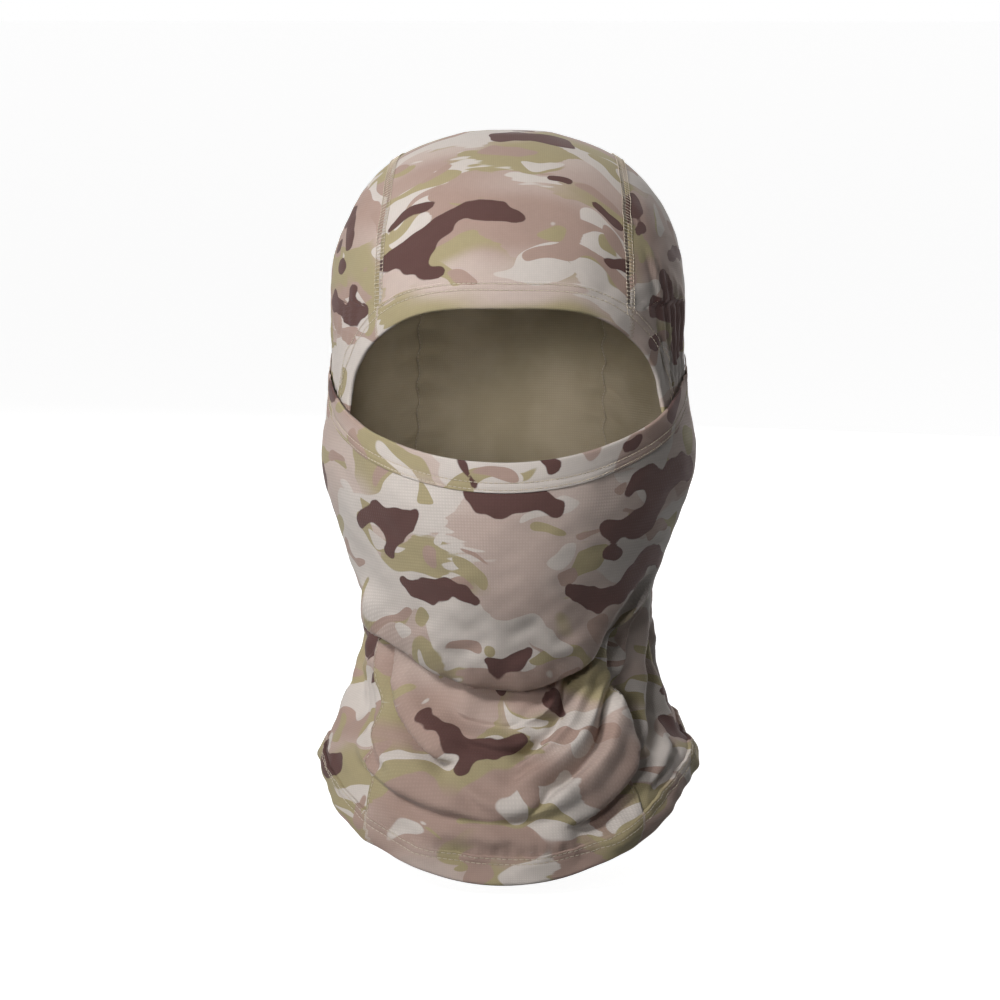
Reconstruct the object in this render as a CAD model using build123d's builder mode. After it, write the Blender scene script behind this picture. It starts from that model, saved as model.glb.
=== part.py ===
"""A hinged camouflage balaclava, as worn: crown and side panels, face panel, bib, bindings, hem and seam threads.

Millimetres. The origin is midway between the two points beside the ears where the face binding is tacked down.
+Z is up, the face looks along -Y, and the wearer's left is +X.
"""

import math
import os

from build123d import *

os.makedirs("parts", exist_ok=True)

# Cloth
CLOTH = 1.0  # thickness of one ply of brushed knit
PLY_GAP = 0.3  # air between plies that lie on each other
SEAM_GAP = 0.3  # between the edges of two panels that butt at a flat seam
THREAD_LIFT = 0.2  # from the cloth to the underside of a thread row
THREAD_HEIGHT = 0.4

# Bindings and hem
BINDING_WIDTH = 12.0
FACE_LIFT = 2.8  # how far the face panel stands off the hood below it
EYE_SIDE_FLOOR = -19.0  # the hood's hidden front edge, under the face binding
FACE_TOP_Z = 6.0  # top edge of the face binding at the ear
FACE_TOP_SLOPE = 0.36  # it drops this much for each millimetre forward
FACE_REAR_Y = 4.0  # the binding's two ends
CHIN_Z = -116.0  # where the face panel folds under the chin

# Seams
CROWN_SEAM_X = 51.0  # half the centre strip's width, over the ears
CROWN_SEAM_TAPER = 0.085  # the strip narrows towards the nape
FLATLOCK_WIDTH = 5.0
STITCH_ROWS = [(7.6, 8.8), (10.4, 11.6)]  # both needle rows of a cover stitch, measured in from the edge

# Thread tacks that fasten the two ends of the face binding to the hood, and that it turns about
TACK_RADIUS = 2.0
TACK_HEAD_RADIUS = 3.4
TACK_CLEARANCE = 0.06
TACK_INNER_X = 79.4
TACK_HEAD_X = 85.5
TACK_HEAD_HEIGHT = 0.6

# Stock that cutters are made from
REACH = 140.0
FLOOR_Z = -245.0
CEILING_Z = 125.0

# The hood's outer face: height, half width, reach forward, reach back
SECTIONS = [
    (-236, 88.0, 107, 85),
    (-205, 88.0, 101, 86),
    (-180, 87.3, 93, 86),
    (-168, 83.0, 88, 83),
    (-155, 75.0, 84, 77),
    (-135, 70.2, 83, 72),
    (-110, 66.0, 93, 71),
    (-85, 70.0, 103, 75),
    (-60, 77.5, 108, 83),
    (-35, 81.3, 109, 93),
    (-10, 81.0, 106, 100),
    (15, 81.0, 101, 103),
    (40, 81.4, 96, 102),
    (62, 77.2, 86, 96),
    (80, 68.5, 71, 85),
    (93, 57.5, 55, 71),
    (102, 44.0, 38, 54),
    (107.5, 29.0, 22, 36),
    (110, 8.0, 5, 9),
]

# The eye opening's upper edge, seen from the front: half of it, from the ear side to the middle
EYE_EDGE = [(71.6, -33), (71.0, -12), (68.4, 1.5), (61.8, 14.5), (52, 24.5), (41, 31), (24, 34.8)]
EYE_TOP = (0, 35.4)

# The side seam between bib or face panel and side panel, seen from the side: (y, z) downwards
SIDE_SEAM = [(4, 14), (2, -30), (-6, -60), (-19, -90), (-34, -115), (-49, -140), (-60, -165), (-68, -190), (-84, -245)]

# The bottom edge of the hem, seen from the side: (y, z) from front to back
HEM_EDGE = [(-125, -234), (-105, -225.5), (-65, -205), (-30, -188), (0, -178), (40, -174), (125, -172)]


def offset_sections(distance):
    """The hood's sections moved outwards along the surface by a distance."""
    moved = []
    for i, (z, half_width, front, back) in enumerate(SECTIONS):
        below = SECTIONS[max(i - 1, 0)]
        above = SECTIONS[min(i + 1, len(SECTIONS) - 1)]
        run = below[1] - above[1]
        rise = above[0] - below[0]
        length = math.hypot(run, rise)
        across = distance * rise / length
        up = distance * run / length
        moved.append((z + up, half_width + across, front + across, back + across))
    return moved


def envelope(distance):
    """A solid head-and-neck form whose surface is the hood's outer face moved outwards by a distance."""
    with BuildPart() as form:
        for z, half_width, front, back in offset_sections(distance):
            with BuildSketch(Plane.XY.offset(z)):
                with BuildLine():
                    EllipticalCenterArc((0, 0), half_width, front, 180, arc_size=180)
                    EllipticalCenterArc((0, 0), half_width, back, 0, arc_size=180)
                make_face()
        loft()
    return form.part


def layer(inner, outer):
    """One ply: what lies between two offsets of the hood's outer face."""
    with BuildPart() as ply:
        add(envelope(outer))
        add(envelope(inner), mode=Mode.SUBTRACT)
    return ply.part


def foreshortened_edge(width):
    """EYE_EDGE moved outwards by a width that is measured over the curved cloth, not straight across."""
    middle = [(-EYE_EDGE[-1][0], EYE_EDGE[-1][1])]
    points = EYE_EDGE + [EYE_TOP] + middle
    moved = []
    for before, (x, z), after in zip(points, points[1:], points[2:]):
        along = Vector(after[0] - before[0], after[1] - before[1]).normalized()
        facing = math.sqrt(max(0.0, 1 - (x / SECTIONS[10][1]) ** 2))
        moved.append((x + width * along.Y * facing, z - width * along.X))
    first = (moved[0][0] + 0.3, EYE_EDGE[0][1])
    return [first] + moved[:-1], moved[-1]


def eye_opening(width=0.0):
    """The space in front of the eyes, grown by a width over the brow."""
    side, top = (EYE_EDGE, EYE_TOP) if width == 0 else foreshortened_edge(width)
    other_side = [(-x, z) for x, z in reversed(side)]
    with BuildPart() as opening:
        with BuildSketch(Plane.XZ):
            with BuildLine():
                Spline(*side, top, *other_side)
                Line(other_side[-1], side[0])
            make_face()
        extrude(amount=REACH)
    return opening.part


def seen_from_side(points, closing):
    """A block right across the head whose outline, seen from the side, is a spline through points closed by lines."""
    with BuildPart() as block:
        with BuildSketch(Plane.YZ):
            with BuildLine():
                Spline(*points)
                Polyline(points[-1], *closing, points[0])
            make_face()
        extrude(amount=REACH, both=True)
    return block.part


def ahead_of_seam(shift=0.0, top=SIDE_SEAM[0][1]):
    """Everything in front of the side seam moved back by a shift, below a height."""
    points = [(y + shift, z) for y, z in SIDE_SEAM]
    block = seen_from_side(points, [(-REACH, FLOOR_Z), (-REACH, points[0][1])])
    with BuildPart() as region:
        add(block)
        if top < SIDE_SEAM[0][1]:
            split(bisect_by=Plane.XY.offset(top), keep=Keep.BOTTOM)
    return region.part


def below_hem(raise_by=0.0):
    """Everything below the hem's bottom edge raised by a height."""
    points = [(y, z + raise_by) for y, z in HEM_EDGE]
    deep = FLOOR_Z - 20
    return seen_from_side(points, [(REACH, points[-1][1]), (REACH, deep), (-REACH, deep), (-REACH, points[0][1])])


def crown_strip(wider):
    """The upright wedge that holds the centre strip, made wider on each side. Low down it is only at the back."""
    front_x = CROWN_SEAM_X + CROWN_SEAM_TAPER * REACH + wider
    back_x = CROWN_SEAM_X - CROWN_SEAM_TAPER * REACH + wider
    with BuildPart() as strip:
        with BuildSketch(Plane.XY.offset(FLOOR_Z)):
            with BuildLine():
                Polyline((-front_x, -REACH), (front_x, -REACH), (back_x, REACH), (-back_x, REACH), close=True)
            make_face()
        extrude(amount=CEILING_Z - FLOOR_Z)
        with Locations((0, -REACH / 2, (EYE_SIDE_FLOOR + FLOOR_Z) / 2)):
            Box(2 * REACH, REACH, EYE_SIDE_FLOOR - FLOOR_Z, mode=Mode.SUBTRACT)
    return strip.part


def face_band(drop_from, drop_to, rear=FACE_REAR_Y):
    """A slanted slab below the face binding's top edge, between two depths measured square to it."""
    steep = math.hypot(1, FACE_TOP_SLOPE)
    front = -REACH
    with BuildPart() as slab:
        with BuildSketch(Plane.YZ):
            with BuildLine():
                Polyline(
                    (rear, FACE_TOP_Z + FACE_TOP_SLOPE * rear - drop_from * steep),
                    (front, FACE_TOP_Z + FACE_TOP_SLOPE * front - drop_from * steep),
                    (front, FACE_TOP_Z + FACE_TOP_SLOPE * front - drop_to * steep),
                    (rear, FACE_TOP_Z + FACE_TOP_SLOPE * rear - drop_to * steep),
                    close=True,
                )
            make_face()
        extrude(amount=REACH, both=True)
    return slab.part


def tack_shape(sign, clearance=0.0):
    """A short round bar of thread along the face binding's hinge axis, with a flat head outside."""
    with BuildPart() as tack:
        with BuildSketch(Plane.YZ.offset(sign * TACK_INNER_X)):
            Circle(TACK_RADIUS + clearance)
        extrude(amount=sign * (TACK_HEAD_X - TACK_INNER_X))
        with BuildSketch(Plane.YZ.offset(sign * TACK_HEAD_X)):
            Circle(TACK_HEAD_RADIUS)
        extrude(amount=sign * TACK_HEAD_HEIGHT)
    return tack.part


def side_half(sign):
    """Half of space: +1 is the wearer's left, -1 the right."""
    with BuildPart() as half:
        with Locations((sign * REACH / 2, 0, (CEILING_Z + FLOOR_Z) / 2)):
            Box(REACH, 2 * REACH, CEILING_Z - FLOOR_Z)
    return half.part


# Shared plies and regions
hood_ply = layer(-CLOTH, 0)
bib_ply = layer(PLY_GAP, PLY_GAP + CLOTH)
binding_ply = layer(-CLOTH - 0.6, 0.6)
face_ply = layer(FACE_LIFT + 0.1, FACE_LIFT + 0.1 + CLOTH)
face_binding_ply = layer(FACE_LIFT - 0.3, FACE_LIFT - 0.3 + 2 * CLOTH - 0.2)
hem_ply = layer(-CLOTH, PLY_GAP + CLOTH)
thread_ply = layer(THREAD_LIFT, THREAD_LIFT + THREAD_HEIGHT)
opening = eye_opening()
opening_and_binding = eye_opening(BINDING_WIDTH)
opening_and_gap = eye_opening(BINDING_WIDTH + SEAM_GAP)
hood_front_cut = ahead_of_seam(shift=SEAM_GAP, top=EYE_SIDE_FLOOR)
hem_space = below_hem()
hem_band_space = below_hem(BINDING_WIDTH)
hem_gap_space = below_hem(BINDING_WIDTH + SEAM_GAP)
strip_space = crown_strip(-SEAM_GAP / 2)
strip_and_gap = crown_strip(SEAM_GAP / 2)


def save(part, label):
    """Writes one sub-part under its own name."""
    part.label = label
    export_step(part, f"parts/{label}.step")


# Centre strip, from the brow over the crown and down the back
with BuildPart() as crown_panel:
    add(hood_ply)
    add(strip_space, mode=Mode.INTERSECT)
    add(opening_and_gap, mode=Mode.SUBTRACT)
    add(hood_front_cut, mode=Mode.SUBTRACT)
    add(hem_gap_space, mode=Mode.SUBTRACT)
save(crown_panel.part, "crown_panel")

# Side panels, from the crown seam down past the ear to the hem
with BuildPart() as both_sides:
    add(hood_ply)
    add(strip_and_gap, mode=Mode.SUBTRACT)
    add(opening_and_gap, mode=Mode.SUBTRACT)
    add(hood_front_cut, mode=Mode.SUBTRACT)
    add(hem_gap_space, mode=Mode.SUBTRACT)
for side, sign in (("left", 1), ("right", -1)):
    with BuildPart() as side_panel:
        add(both_sides.part)
        add(side_half(sign), mode=Mode.INTERSECT)
        add(tack_shape(sign, TACK_CLEARANCE), mode=Mode.SUBTRACT)
    save(side_panel.part, f"{side}_side_panel")

# Folded binding round the brow, its two ends hidden under the face binding
with BuildPart() as brow_binding:
    add(binding_ply)
    add(opening_and_binding, mode=Mode.INTERSECT)
    add(opening, mode=Mode.SUBTRACT)
    split(bisect_by=Plane.XY.offset(EYE_SIDE_FLOOR), keep=Keep.TOP)
save(brow_binding.part, "brow_binding")

# Face panel, from its binding down to the fold under the chin
with BuildPart() as face_panel:
    add(face_ply)
    add(ahead_of_seam(), mode=Mode.INTERSECT)
    add(face_band(BINDING_WIDTH + SEAM_GAP, REACH, rear=REACH), mode=Mode.INTERSECT)
    split(bisect_by=Plane.XY.offset(CHIN_Z), keep=Keep.TOP)
save(face_panel.part, "face_panel")

# Folded binding along the top of the face panel: the piece that is pulled down under the chin
with BuildPart() as face_binding:
    add(face_binding_ply)
    add(face_band(0, BINDING_WIDTH), mode=Mode.INTERSECT)
    add(tack_shape(1, TACK_CLEARANCE), mode=Mode.SUBTRACT)
    add(tack_shape(-1, TACK_CLEARANCE), mode=Mode.SUBTRACT)
save(face_binding.part, "face_binding")

# Bib, from the fold under the chin down to the hem
with BuildPart() as bib_panel:
    add(bib_ply)
    add(ahead_of_seam(top=CHIN_Z - SEAM_GAP), mode=Mode.INTERSECT)
    add(hem_gap_space, mode=Mode.SUBTRACT)
save(bib_panel.part, "bib_panel")

# Hem band round the bottom
with BuildPart() as hem_band:
    add(hem_ply)
    add(hem_band_space, mode=Mode.INTERSECT)
    add(hem_space, mode=Mode.SUBTRACT)
save(hem_band.part, "hem_band")

# Flat seam threads over the crown seams
with BuildPart() as crown_threads:
    add(thread_ply)
    add(crown_strip(FLATLOCK_WIDTH / 2), mode=Mode.INTERSECT)
    add(crown_strip(-FLATLOCK_WIDTH / 2), mode=Mode.SUBTRACT)
    add(opening_and_gap, mode=Mode.SUBTRACT)
    add(ahead_of_seam(top=EYE_SIDE_FLOOR), mode=Mode.SUBTRACT)
    add(below_hem(BINDING_WIDTH + 2 * SEAM_GAP), mode=Mode.SUBTRACT)
for side, sign in (("left", 1), ("right", -1)):
    with BuildPart() as crown_thread:
        add(crown_threads.part)
        add(side_half(sign), mode=Mode.INTERSECT)
    save(crown_thread.part, f"{side}_crown_seam_thread")

# Threads along the side seams, on the side panels just behind the bib's edge
with BuildPart() as side_threads:
    add(thread_ply)
    add(ahead_of_seam(shift=SEAM_GAP * 2 + FLATLOCK_WIDTH - 1), mode=Mode.INTERSECT)
    add(ahead_of_seam(shift=SEAM_GAP * 2), mode=Mode.SUBTRACT)
    split(bisect_by=Plane.XY.offset(EYE_SIDE_FLOOR), keep=Keep.BOTTOM)
    add(below_hem(BINDING_WIDTH + 2 * SEAM_GAP), mode=Mode.SUBTRACT)
for side, sign in (("left", 1), ("right", -1)):
    with BuildPart() as side_thread:
        add(side_threads.part)
        add(side_half(sign), mode=Mode.INTERSECT)
    save(side_thread.part, f"{side}_side_seam_thread")

# Cover-stitch rows along the two bindings and the hem
brow_thread_ply = layer(0.7, 1.0)
hem_thread_ply = layer(PLY_GAP + CLOTH + 0.1, PLY_GAP + CLOTH + 0.4)
brow_rows = []
hem_rows = []
for near, far in STITCH_ROWS:
    with BuildPart() as brow_row:
        add(brow_thread_ply)
        add(eye_opening(far), mode=Mode.INTERSECT)
        add(eye_opening(near), mode=Mode.SUBTRACT)
        with Locations((0, 0, (EYE_SIDE_FLOOR + FLOOR_Z) / 2)):
            Box(2 * REACH, 2 * REACH, EYE_SIDE_FLOOR - FLOOR_Z, mode=Mode.SUBTRACT)
    brow_rows.append(brow_row.part)
    with BuildPart() as hem_row:
        add(hem_thread_ply)
        add(below_hem(far), mode=Mode.INTERSECT)
        add(below_hem(near), mode=Mode.SUBTRACT)
    hem_rows.append(hem_row.part)

with BuildPart() as brow_stitching:
    add(brow_rows)
save(brow_stitching.part, "brow_stitching")

with BuildPart() as hem_stitching:
    add(hem_rows)
save(hem_stitching.part, "hem_stitching")

with BuildPart() as face_stitching:
    for near, far in STITCH_ROWS:
        add(face_band(near, far, rear=FACE_REAR_Y - TACK_HEAD_RADIUS * 2))
    add(layer(FACE_LIFT + 1.6, FACE_LIFT + 1.9), mode=Mode.INTERSECT)
save(face_stitching.part, "face_stitching")

for side, sign in (("left", 1), ("right", -1)):
    save(tack_shape(sign), f"{side}_ear_tack")
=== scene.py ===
"""A camouflage balaclava, as worn on an unseen head: cloth panels, folded bindings, seams and print.

Metres, in the CAD frame: +Z up, the face looks along -Y, the wearer's left is +X.
Places on the hood are given as a turn in degrees from the middle of the face (towards +X) and a height.
"""

import math

import bpy
import numpy as np
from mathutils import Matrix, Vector


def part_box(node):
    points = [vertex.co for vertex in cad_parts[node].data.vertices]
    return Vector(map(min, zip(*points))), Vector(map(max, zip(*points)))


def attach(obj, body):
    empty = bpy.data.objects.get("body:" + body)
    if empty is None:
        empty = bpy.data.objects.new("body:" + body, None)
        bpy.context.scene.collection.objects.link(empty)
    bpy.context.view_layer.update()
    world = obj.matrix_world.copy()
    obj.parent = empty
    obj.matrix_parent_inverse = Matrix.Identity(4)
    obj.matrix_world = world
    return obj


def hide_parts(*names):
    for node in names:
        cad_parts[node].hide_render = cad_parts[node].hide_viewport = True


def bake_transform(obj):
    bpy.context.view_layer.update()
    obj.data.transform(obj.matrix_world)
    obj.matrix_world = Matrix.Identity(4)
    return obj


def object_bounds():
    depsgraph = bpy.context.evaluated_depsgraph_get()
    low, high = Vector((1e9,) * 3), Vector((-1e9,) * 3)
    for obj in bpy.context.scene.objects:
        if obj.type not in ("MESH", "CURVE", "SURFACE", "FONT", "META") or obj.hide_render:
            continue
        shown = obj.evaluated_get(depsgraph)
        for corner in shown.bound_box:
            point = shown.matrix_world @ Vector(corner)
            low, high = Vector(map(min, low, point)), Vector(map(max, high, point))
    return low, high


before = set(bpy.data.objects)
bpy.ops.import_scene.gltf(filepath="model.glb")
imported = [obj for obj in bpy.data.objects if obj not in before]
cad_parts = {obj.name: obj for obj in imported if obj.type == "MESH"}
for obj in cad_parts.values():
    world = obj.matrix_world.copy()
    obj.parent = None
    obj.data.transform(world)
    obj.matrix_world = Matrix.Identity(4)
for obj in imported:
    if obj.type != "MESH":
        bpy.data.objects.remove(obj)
cad_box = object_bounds()

MM = 0.001
DEGREE = math.pi / 180

# Where the cloth lies: how far each outer face stands off the hood's own outer face in the CAD frame
BROW_LIFT = 0.6 * MM
BIB_LIFT = 1.3 * MM
FACE_LIFT = 3.9 * MM
BAND_LIFT = 4.3 * MM
BINDING_WIDTH = 12 * MM
CLOTH = 0.8 * MM
MEAN_RADIUS = 80 * MM  # turns one radian of turn into a length of cloth

# Grid spacing of the cloth meshes
FINE = 1.3 * MM
COARSE = 1.9 * MM


# ---------------------------------------------------------------- camera, light and floor


def make_camera():
    """The photograph's viewpoint: a long lens, a little above the eyes and almost straight ahead."""
    distance, height, yaw = 2.8, 6.0 * DEGREE, 1.2 * DEGREE
    across = 0.462  # what the picture's width takes in at the middle of the head
    target = Vector((-0.0035, 0, -0.060))
    back = Vector((math.sin(yaw) * math.cos(height), -math.cos(yaw) * math.cos(height), math.sin(height)))
    camera = bpy.data.objects.new("camera", bpy.data.cameras.new("camera"))
    bpy.context.scene.collection.objects.link(camera)
    camera.location = target + back * distance
    camera.rotation_mode = "QUATERNION"
    camera.rotation_quaternion = (-back).to_track_quat("-Z", "Y")
    camera.data.lens = camera.data.sensor_width * distance / across
    bpy.context.scene.camera = camera


def area_light(name, place, target, size, power, spread=180):
    """One soft box, aimed at a point. A spread under 180 degrees stands for a grid that narrows its beam."""
    light = bpy.data.objects.new(name, bpy.data.lights.new(name, "AREA"))
    light.data.shape = "DISK"
    light.data.size = size
    light.data.energy = power
    light.data.spread = spread * DEGREE
    light.location = place
    light.rotation_mode = "QUATERNION"
    light.rotation_quaternion = (Vector(target) - Vector(place)).to_track_quat("-Z", "Y")
    bpy.context.scene.collection.objects.link(light)
    return light


def make_studio():
    """A pale seamless floor under a white surround, and soft boxes. The main one is in front, on the left."""
    world = bpy.data.worlds.new("studio")
    bpy.context.scene.world = world
    world.use_nodes = True
    surround = world.node_tree.nodes["Background"]
    surround.inputs["Color"].default_value = (1, 1, 1, 1)
    surround.inputs["Strength"].default_value = 1.0
    world.cycles_visibility.diffuse = False
    area_light("key", (-1.1, -1.7, 1.3), (-0.03, 0, 0.04), 0.7, 1.42, 25)
    area_light("front", (-0.8, -2.5, 0.45), (-0.04, 0, 0.02), 0.6, 0.52, 21)
    area_light("fill", (1.9, -0.4, 0.3), (0, 0, -0.05), 1.3, 2.4)
    area_light("left", (-1.9, 0.5, 0.3), (0, 0, -0.05), 1.3, 9)
    area_light("top", (0.1, 0.6, 1.6), (0, 0, 0), 1.6, 7)
    area_light("back", (0.7, 1.8, 0.4), (0, 0, -0.05), 1.8, 18)
    # light that comes through the thin knit
    inside, aim = (-16 * MM, 15 * MM, -12 * MM), (-24 * MM, 90 * MM, -20 * MM)
    glow = area_light("through_the_knit", inside, aim, 0.04, 0.009, 130)
    glow.visible_camera = False
    bpy.ops.mesh.primitive_plane_add(size=30, location=(0, 0, cad_box[0].z - 4 * MM))
    floor = bpy.context.object
    floor.name = "floor"
    paint = bpy.data.materials.new("floor")
    paint.use_nodes = True
    shader = paint.node_tree.nodes["Principled BSDF"]
    shader.inputs["Base Color"].default_value = (0.35, 0.35, 0.35, 1)
    shader.inputs["Roughness"].default_value = 1.0
    shader.inputs["Emission Color"].default_value = (1, 1, 1, 1)
    shader.inputs["Emission Strength"].default_value = 0.9
    floor.data.materials.append(paint)
    floor.visible_diffuse = False
    bpy.context.scene.view_settings.view_transform = "Standard"


# ---------------------------------------------------------------- the head form, measured from the frame


def mesh_points(node):
    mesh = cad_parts[node].data
    points = np.empty(len(mesh.vertices) * 3)
    mesh.vertices.foreach_get("co", points)
    return points.reshape(-1, 3)


def crossing(node, point, normal):
    """Where the edges of a CAD node's mesh cross a plane, as an array of points."""
    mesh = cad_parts[node].data
    points = mesh_points(node)
    pairs = np.empty(len(mesh.edges) * 2, int)
    mesh.edges.foreach_get("vertices", pairs)
    pairs = pairs.reshape(-1, 2)
    height = (points - np.array(point)) @ np.array(normal)
    low, high = height[pairs[:, 0]], height[pairs[:, 1]]
    cut = (low < 0) != (high < 0)
    share = (low[cut] / (low[cut] - high[cut]))[:, None]
    start, end = points[pairs[cut, 0]], points[pairs[cut, 1]]
    return start + (end - start) * share


def reach(z, nodes, axis, sign):
    """How far the named nodes reach along an axis at a height, less each one's own lift, or NaN."""
    found = []
    for node, lift in nodes:
        points = crossing(node, (0, 0, z), (0, 0, 1))
        if len(points):
            found.append((sign * points[:, axis]).max() - lift)
    return max(found, default=np.nan)


def smoothed(values, times):
    for _ in range(times):
        inner = (values[:-2] + 2 * values[1:-1] + values[2:]) / 4
        values = np.concatenate([values[:1], inner, values[-1:]])
    return values


def measure_profile():
    """Half width, reach forward and reach back of the head form at a ladder of heights."""
    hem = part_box("hem_band")[0].z
    hem_beside = crossing("hem_band", (0, 0, 0), (0, 1, 0))[:, 2].min() + 2 * MM
    hem_behind = crossing("hem_band", (0, 60 * MM, 0), (0, 1, 0))[:, 2].min() + 2 * MM
    eyes_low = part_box("face_binding")[0].z - 2 * MM
    eyes_high = crossing("brow_binding", (0, 0, 0), (1, 0, 0))[:, 2].min() + 2 * MM
    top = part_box("crown_panel")[1].z
    heights = np.arange(hem - 2 * MM, top - 0.2 * MM, 1.5 * MM)
    hood = [("left_side_panel", 0), ("crown_panel", 0), ("brow_binding", BROW_LIFT), ("hem_band", BIB_LIFT)]
    face = [("bib_panel", BIB_LIFT), ("face_panel", FACE_LIFT), ("hem_band", BIB_LIFT)]
    tables = []
    for axis, sign, ranges in (
        (0, 1, [(hood, hem_beside, top)]),
        (1, -1, [(face, hem, eyes_low), (hood, eyes_high, top)]),
        (1, 1, [(hood, hem_behind, top)]),
    ):
        values = np.full(len(heights), np.nan)
        for nodes, low, high in ranges:
            for i in np.flatnonzero((heights > low) & (heights < high)):
                values[i] = reach(heights[i], nodes, axis, sign)
        known = ~np.isnan(values)
        tables.append(smoothed(np.interp(heights, heights[known], values[known]), 6))
    return heights, tables, top


HEIGHTS, (HALF_WIDTH, FRONT, BACK), CROWN_TOP = measure_profile()


def form_size(z):
    """The form's half width, reach forward and reach back at some heights. They close over the crown."""
    sizes = []
    for table in (HALF_WIDTH, FRONT, BACK):
        heights = np.append(HEIGHTS, CROWN_TOP + 0.3 * MM)
        squares = np.append(table**2, 0)
        sizes.append(np.sqrt(np.interp(z, heights, squares)))
    return sizes


def form_point(turn, z):
    """The form's point at a turn (radians from the middle of the face, positive towards +X) and a height."""
    half_width, front, back = form_size(z)
    depth = np.where(np.cos(turn) > 0, front, back)
    return np.stack([half_width * np.sin(turn), -depth * np.cos(turn), z + 0 * turn], -1)


def form_axes(points):
    """The form's half width at some points' heights, and its reach forward or back, where each one lies."""
    half_width, front, back = form_size(points[..., 2])
    return half_width, np.where(points[..., 1] < 0, front, back)


def form_turn(points):
    """The turn of points on the form, in radians."""
    half_width, depth = form_axes(points)
    return np.arctan2(points[..., 0] / np.maximum(half_width, MM), -points[..., 1] / np.maximum(depth, MM))


def outside(points):
    """Below 0 inside the form, above 0 outside it."""
    half_width, depth = form_axes(points)
    small = 0.01 * MM
    return (points[..., 0] / (half_width + small)) ** 2 + (points[..., 1] / (depth + small)) ** 2 - 1


def unit(vectors):
    return vectors / np.linalg.norm(vectors, axis=-1, keepdims=True)


def form_normal(points):
    """Unit vectors straight out of the form."""
    step = 1.5 * MM
    slopes = []
    for axis in range(3):
        shift = np.zeros(3)
        shift[axis] = step
        slopes.append(outside(points + shift) - outside(points - shift))
    return unit(np.stack(slopes, -1))


# ---------------------------------------------------------------- edges and seams, measured from the frame


def measured_line(node, low, high, pick):
    """A straight line through what pick takes from cross-sections at several y: (value at y = 0, slope)."""
    at = np.linspace(low, high, 9)
    values = [pick(crossing(node, (0, y, 0), (0, 1, 0))) for y in at]
    slope, start = np.polyfit(at, values, 1)
    return start, slope


BAND_TOP, BAND_SLOPE = measured_line("face_binding", -90 * MM, -10 * MM, lambda found: found[:, 2].max())
SEAM_X, SEAM_SLOPE = measured_line(
    "left_crown_seam_thread", 20 * MM, 60 * MM, lambda found: found[:, 0].mean()
)


def seam_x(y):
    """Half the centre strip's width at a place from front to back."""
    return SEAM_X + SEAM_SLOPE * y


def measure_hem():
    """The hem's bottom edge, seen from the side: its height at a ladder of y."""
    low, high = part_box("hem_band")
    at = np.linspace(low.y + 2 * MM, high.y - 2 * MM, 40)
    return at, np.array([crossing("hem_band", (0, y, 0), (0, 1, 0))[:, 2].min() for y in at])


HEM_Y, HEM_Z = measure_hem()


def hem_height(y):
    return np.interp(y, HEM_Y, HEM_Z)


def measure_side_seam():
    """Where the front cloth is sewn to the side panels: its y at a ladder of heights."""
    low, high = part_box("left_side_seam_thread")
    at = np.linspace(low.z + 1 * MM, high.z - 1 * MM, 40)
    return at, np.array([crossing("left_side_seam_thread", (0, 0, z), (0, 0, 1))[:, 1].min() for z in at])


SIDE_SEAM_Z, SIDE_SEAM_Y = measure_side_seam()


def side_seam_turn(z):
    """The side seam's turn at some heights, in radians."""
    y = np.interp(z, SIDE_SEAM_Z, SIDE_SEAM_Y)
    below = np.minimum(z - SIDE_SEAM_Z[0], 0)
    y = y + below * (SIDE_SEAM_Y[4] - SIDE_SEAM_Y[0]) / (SIDE_SEAM_Z[4] - SIDE_SEAM_Z[0])
    _, front, back = form_size(z)
    return np.arccos(np.clip(-y / np.where(y < 0, front, back), -1, 1))


def measure_brow():
    """The brow binding's inner and outer edges seen from the front, from the right ear to the left one."""
    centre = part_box("brow_binding")[0].z + 1 * MM
    edges = [[], []]
    for angle in np.linspace(1, 0, 121) * math.pi:
        direction = np.array([math.cos(angle), 0, math.sin(angle)])
        found = crossing("brow_binding", (0, 0, centre), (-direction[2], 0, direction[0]))
        out = (found - (0, 0, centre)) @ direction
        out = out[out > 0]
        for edge, far in zip(edges, (out.min(), out.max())):
            edge.append((far * direction[0], centre + far * direction[2]))
    return [np.stack([smoothed(column, 2) for column in np.array(edge).T], -1) for edge in edges]


BROW_INNER, BROW_OUTER = measure_brow()


def brow_line(share):
    """A line round the brow binding, seen from the front: share 0 is its inner edge, 1 its outer."""
    return BROW_INNER + (BROW_OUTER - BROW_INNER) * share


# ---------------------------------------------------------------- folds


def smooth_path(points, steps=8):
    """A smooth line through points, sampled evenly between them."""
    points = np.array(points, float)
    ends = np.concatenate([points[:1] * 2 - points[1:2], points, points[-1:] * 2 - points[-2:-1]])
    made = []
    for a, b, c, d in zip(ends, ends[1:], ends[2:], ends[3:]):
        for t in np.arange(steps) / steps:
            bend = (2 * a - 5 * b + 4 * c - d) * t**2 + (3 * b - a - 3 * c + d) * t**3
            made.append(b + ((c - a) * t + bend) / 2)
    return np.array(made + [points[-1]])


def walked_along(points):
    """The length walked along a line up to each of its points."""
    return np.concatenate([[0], np.cumsum(np.linalg.norm(np.diff(points, axis=0), axis=1))])


def soft_step(value):
    value = np.clip(value, 0, 1)
    return value * value * (3 - 2 * value)


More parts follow.
